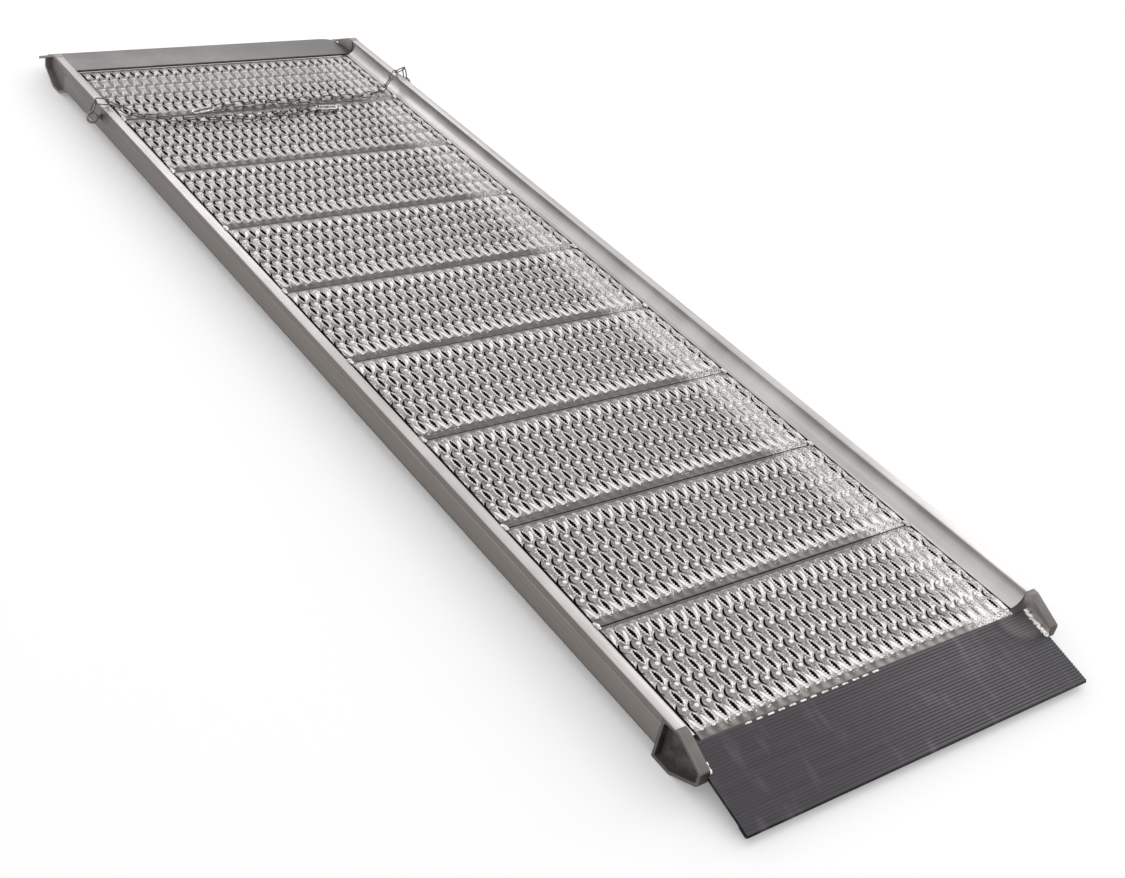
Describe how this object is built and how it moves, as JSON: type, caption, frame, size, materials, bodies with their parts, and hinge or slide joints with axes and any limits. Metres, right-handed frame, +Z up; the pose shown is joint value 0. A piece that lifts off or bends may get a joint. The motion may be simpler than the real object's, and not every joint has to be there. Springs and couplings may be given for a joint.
{
  "type": "livestock walk ramp",
  "caption": "Aluminium walk ramp: serrated grating planks between curbed side rails, with a ribbed toe plate, a lip plate, end feet and safety chains with snap hooks.",
  "frame": {"origin": "on the plane under the four feet, at the middle of the whole object's length and width", "axes": "+X across the ramp to its right rail as seen from the toe plate, +Y along it towards the lip plate, +Z up from the feet"},
  "size_m": [1.0024, 3.0038, 0.1131],
  "materials": {
    "grating": "bright, serrated edges raised from the sheet",
    "rail": "mill finish extrusion, weathered",
    "foot": "mill finish casting, weathered",
    "toe_plate": "ribbed extrusion, dull",
    "lip_plate": "smooth mill finish plate",
    "chain": "zinc plated",
    "snap_hook": "bright plated",
    "fastener": "plated, dull"
  },
  "bodies": {
    "ramp": {"eyebolt_left": "fastener", "eyebolt_right": "fastener", "far_left_foot": "foot", "far_right_foot": "foot", "grating_plank_1": "grating", "grating_plank_2": "grating", "grating_plank_3": "grating", "grating_plank_4": "grating", "grating_plank_5": "grating", "grating_plank_6": "grating", "grating_plank_7": "grating", "grating_plank_8": "grating", "grating_plank_9": "grating", "inner_nut_left": "fastener", "inner_nut_right": "fastener", "left_rail": "rail", "lip_plate": "lip_plate", "near_left_foot": "foot", "near_right_foot": "foot", "outer_nut_left": "fastener", "outer_nut_right": "fastener", "right_rail": "rail", "toe_plate": "toe_plate", "washer_left": "fastener", "washer_right": "fastener"},
    "left_chain_1": {"chain_left_1": "chain"},
    "left_chain_2": {"chain_left_2": "chain"},
    "left_chain_3": {"chain_left_3": "chain"},
    "left_chain_4": {"chain_left_4": "chain"},
    "left_chain_5": {"chain_left_5": "chain"},
    "left_hook": {"snap_hook_left": "snap_hook", "gate_pin_left": "fastener"},
    "left_gate": {"hook_gate_left": "snap_hook", "gate_spring_left": "fastener"},
    "right_chain_1": {"chain_right_1": "chain"},
    "right_chain_2": {"chain_right_2": "chain"},
    "right_chain_3": {"chain_right_3": "chain"},
    "right_chain_4": {"chain_right_4": "chain"},
    "right_chain_5": {"chain_right_5": "chain"},
    "right_hook": {"snap_hook_right": "snap_hook", "gate_pin_right": "fastener"},
    "right_gate": {"hook_gate_right": "snap_hook", "gate_spring_right": "fastener"}
  },
  "joints": [
    {"name": "left_chain_in_eye", "type": "hinge", "parent": "ramp", "child": "left_chain_1", "pos_m": [-0.4855, 1.07293, 0.063], "axis": [0, -0.866, 0.5], "range_deg": [0, 40]},
    {"name": "left_chain_bend_1", "type": "hinge", "parent": "left_chain_1", "child": "left_chain_2", "pos_m": [-0.3859, 1.05964, 0.07148], "axis": [-0.3436, -0.9391, 0], "range_deg": [0, 20]},
    {"name": "left_chain_bend_2", "type": "hinge", "parent": "left_chain_2", "child": "left_chain_3", "pos_m": [-0.26147, 1.0171, 0.0673], "axis": [-0.2301, -0.9732, 0], "range_deg": [0, 45]},
    {"name": "left_chain_bend_3", "type": "hinge", "parent": "left_chain_3", "child": "left_chain_4", "pos_m": [-0.13114, 0.99719, 0.0673], "axis": [-0.0687, -0.9976, 0], "range_deg": [0, 45]},
    {"name": "left_chain_bend_4", "type": "hinge", "parent": "left_chain_4", "child": "left_chain_5", "pos_m": [0.00055, 1.00126, 0.0673], "axis": [0.1412, -0.99, 0], "range_deg": [0, 45]},
    {"name": "left_hook_on_chain", "type": "hinge", "parent": "left_chain_5", "child": "left_hook", "pos_m": [0.12804, 1.01473, 0.0664], "axis": [0.0183, -0.9998, 0], "range_deg": [0, 45]},
    {"name": "left_hook_gate", "type": "hinge", "parent": "left_hook", "child": "left_gate", "pos_m": [0.14635, 1.02407, 0.06545], "axis": [-0.0516, -0.0009, -0.9987], "range_deg": [0, 22], "stiffness_Nm_per_rad": 0.02, "springref_deg": -20.05},
    {"name": "right_chain_in_eye", "type": "hinge", "parent": "ramp", "child": "right_chain_1", "pos_m": [0.4855, 1.13493, 0.063], "axis": [0, 0.866, -0.5], "range_deg": [0, 40]},
    {"name": "right_chain_bend_1", "type": "hinge", "parent": "right_chain_1", "child": "right_chain_2", "pos_m": [0.39343, 1.09731, 0.07465], "axis": [-0.5062, 0.8624, 0], "range_deg": [0, 20]},
    {"name": "right_chain_bend_2", "type": "hinge", "parent": "right_chain_2", "child": "right_chain_3", "pos_m": [0.26811, 1.06432, 0.0673], "axis": [-0.0365, 0.9993, 0], "range_deg": [0, 45]},
    {"name": "right_chain_bend_3", "type": "hinge", "parent": "right_chain_3", "child": "right_chain_4", "pos_m": [0.13627, 1.06933, 0.0673], "axis": [0.064, 0.998, 0], "range_deg": [0, 45]},
    {"name": "right_chain_bend_4", "type": "hinge", "parent": "right_chain_4", "child": "right_chain_5", "pos_m": [0.00443, 1.07589, 0.0673], "axis": [0.0227, 0.9997, 0], "range_deg": [0, 45]},
    {"name": "right_hook_on_chain", "type": "hinge", "parent": "right_chain_5", "child": "right_hook", "pos_m": [-0.15624, 1.06377, 0.0664], "axis": [-0.1483, 0.9889, 0], "range_deg": [0, 45]},
    {"name": "right_hook_gate", "type": "hinge", "parent": "right_hook", "child": "right_gate", "pos_m": [-0.17318, 1.05214, 0.06545], "axis": [0.051, 0.0077, -0.9987], "range_deg": [0, 22], "stiffness_Nm_per_rad": 0.02, "springref_deg": -20.05}
  ]
}
